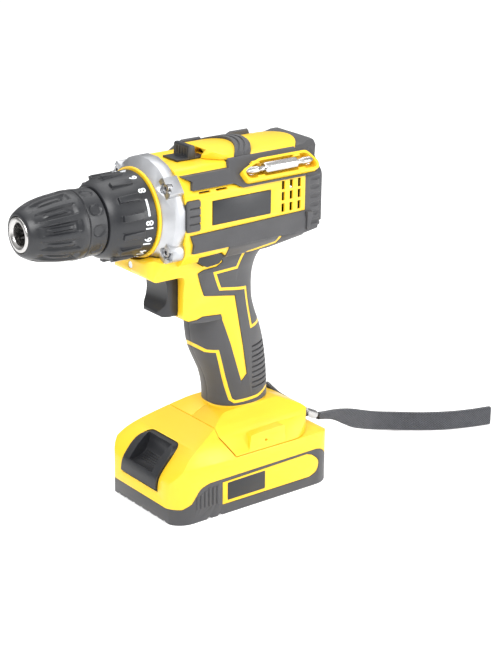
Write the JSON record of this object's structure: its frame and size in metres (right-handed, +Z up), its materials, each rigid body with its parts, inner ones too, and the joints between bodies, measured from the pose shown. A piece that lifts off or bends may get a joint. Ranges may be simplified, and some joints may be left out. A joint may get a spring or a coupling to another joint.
{
  "type": "cordless drill",
  "caption": "Pistol-grip cordless drill driver with keyless chuck, torque collar, planetary drive, slide-on battery, bit holder and wrist strap.",
  "frame": {"origin": "middle of the battery's flat underside, which the drill stands on", "axes": "+X towards the back of the motor housing (the chuck's nose points along -X), +Y to the user's right, +Z up; the chuck axis runs along X at z = 0.1866 m"},
  "size_m": [0.3436, 0.073, 0.221],
  "materials": {
    "yellow_plastic": "satin moulded shell",
    "dark_plastic": "fine matt moulded",
    "grip_rubber": "soft matt overmould",
    "alloy": "die-cast, satin",
    "steel": "ground",
    "bright_steel": "polished",
    "copper": "wound copper over steel",
    "cell_wrap": "shrink wrap",
    "webbing": "woven",
    "lens": "clear"
  },
  "bodies": {
    "housing": {"housing_left": "yellow_plastic", "housing_right": "yellow_plastic", "top_cover": "yellow_plastic", "bit_tray": "yellow_plastic", "collar_ring": "yellow_plastic", "terminal_block": "dark_plastic", "upper_spar_left": "dark_plastic", "upper_spar_right": "dark_plastic", "lower_spar_left": "dark_plastic", "lower_spar_right": "dark_plastic", "name_panel_left": "dark_plastic", "name_panel_right": "dark_plastic", "top_band": "dark_plastic", "rear_cap": "dark_plastic", "switch_body": "dark_plastic", "grip_web_left": "grip_rubber", "grip_web_right": "grip_rubber", "grip_main_left": "grip_rubber", "grip_main_right": "grip_rubber", "grip_lower_left": "grip_rubber", "grip_lower_right": "grip_rubber", "front_pad_left": "grip_rubber", "front_pad_right": "grip_rubber", "gear_case": "alloy", "case_screw_1": "steel", "case_screw_2": "steel", "case_screw_3": "steel", "case_screw_4": "steel", "spindle_bearing": "steel", "ring_gear": "steel", "clutch_spring": "steel", "motor_can": "steel", "strap_ferrule": "bright_steel", "strap_cord": "webbing", "strap_webbing": "webbing", "light_lens": "lens"},
    "battery": {"battery_bottom_shell": "dark_plastic", "battery_top_shell": "yellow_plastic", "battery_panel_left": "yellow_plastic", "battery_panel_right": "yellow_plastic", "cell_pack": "cell_wrap"},
    "release_button": {"release_button": "dark_plastic"},
    "chuck": {"chuck_body": "steel", "chuck_rear_ring": "dark_plastic", "output_spindle": "steel"},
    "chuck_sleeve": {"chuck_sleeve": "dark_plastic"},
    "jaw_1": {"chuck_jaw_1": "steel"},
    "jaw_2": {"chuck_jaw_2": "steel"},
    "jaw_3": {"chuck_jaw_3": "steel"},
    "planet_1": {"planet_gear_1": "steel"},
    "planet_2": {"planet_gear_2": "steel"},
    "planet_3": {"planet_gear_3": "steel"},
    "motor_rotor": {"motor_rotor": "copper", "motor_fan": "dark_plastic"},
    "torque_collar": {"torque_collar": "dark_plastic"},
    "speed_knob": {"speed_knob": "dark_plastic"},
    "direction_button": {"direction_button": "dark_plastic"},
    "trigger": {"trigger": "dark_plastic", "trigger_spring": "steel"},
    "screwdriver_bit": {"screwdriver_bit": "bright_steel"}
  },
  "joints": [
    {"name": "chuck_spin", "type": "hinge", "parent": "housing", "child": "chuck", "pos_m": [-0.1, 0, 0.1866], "axis": [1, 0, 0], "continuous": true},
    {"name": "chuck_sleeve_turn", "type": "hinge", "parent": "chuck", "child": "chuck_sleeve", "pos_m": [-0.12, 0, 0.1866], "axis": [1, 0, 0], "range_deg": [0, 2520]},
    {"name": "jaw_1_slide", "type": "slide", "parent": "chuck", "child": "jaw_1", "axis": [-0.9659, 0, -0.2588], "range_m": [0, 0.0141]},
    {"name": "jaw_2_slide", "type": "slide", "parent": "chuck", "child": "jaw_2", "axis": [-0.9659, 0.2241, 0.1294], "range_m": [0, 0.0141]},
    {"name": "jaw_3_slide", "type": "slide", "parent": "chuck", "child": "jaw_3", "axis": [-0.9659, -0.2241, 0.1294], "range_m": [0, 0.0141]},
    {"name": "planet_1_spin", "type": "hinge", "parent": "chuck", "child": "planet_1", "pos_m": [-0.035, 0, 0.1974], "axis": [1, 0, 0], "continuous": true},
    {"name": "planet_2_spin", "type": "hinge", "parent": "chuck", "child": "planet_2", "pos_m": [-0.035, 0.00935, 0.1812], "axis": [1, 0, 0], "continuous": true},
    {"name": "planet_3_spin", "type": "hinge", "parent": "chuck", "child": "planet_3", "pos_m": [-0.035, -0.00935, 0.1812], "axis": [1, 0, 0], "continuous": true},
    {"name": "motor_spin", "type": "hinge", "parent": "housing", "child": "motor_rotor", "pos_m": [0.008, 0, 0.1866], "axis": [1, 0, 0], "continuous": true},
    {"name": "torque_collar_turn", "type": "hinge", "parent": "housing", "child": "torque_collar", "pos_m": [-0.078, 0, 0.1866], "axis": [1, 0, 0], "range_deg": [0, 330]},
    {"name": "speed_knob_slide", "type": "slide", "parent": "housing", "child": "speed_knob", "axis": [1, 0, 0], "range_m": [0, 0.007]},
    {"name": "direction_button_slide", "type": "slide", "parent": "housing", "child": "direction_button", "axis": [0, 1, 0], "range_m": [-0.002, 0.002]},
    {"name": "trigger_pull", "type": "slide", "parent": "housing", "child": "trigger", "axis": [1, 0, 0], "range_m": [0, 0.006], "stiffness_N_per_m": 400, "springref_m": -0.004},
    {"name": "battery_slide", "type": "slide", "parent": "housing", "child": "battery", "axis": [-1, 0, 0], "range_m": [0, 0.08]},
    {"name": "release_button_press", "type": "slide", "parent": "battery", "child": "release_button", "axis": [0.7901, 0, -0.613], "range_m": [0, 0.003], "stiffness_N_per_m": 500, "springref_m": -0.002},
    {"name": "bit_pull_out", "type": "slide", "parent": "housing", "child": "screwdriver_bit", "axis": [0, -0.7614, 0.6483], "range_m": [0, 0.015]}
  ],
  "couplings": [
    {"joint": "jaw_1_slide", "follows": "chuck_sleeve_turn", "m_per_rad": 0.000318},
    {"joint": "jaw_2_slide", "follows": "chuck_sleeve_turn", "m_per_rad": 0.000318},
    {"joint": "jaw_3_slide", "follows": "chuck_sleeve_turn", "m_per_rad": 0.000318},
    {"joint": "planet_1_spin", "follows": "chuck_spin", "ratio": -2.8},
    {"joint": "planet_2_spin", "follows": "chuck_spin", "ratio": -2.8},
    {"joint": "planet_3_spin", "follows": "chuck_spin", "ratio": -2.8},
    {"joint": "motor_spin", "follows": "chuck_spin", "ratio": 4.5}
  ]
}
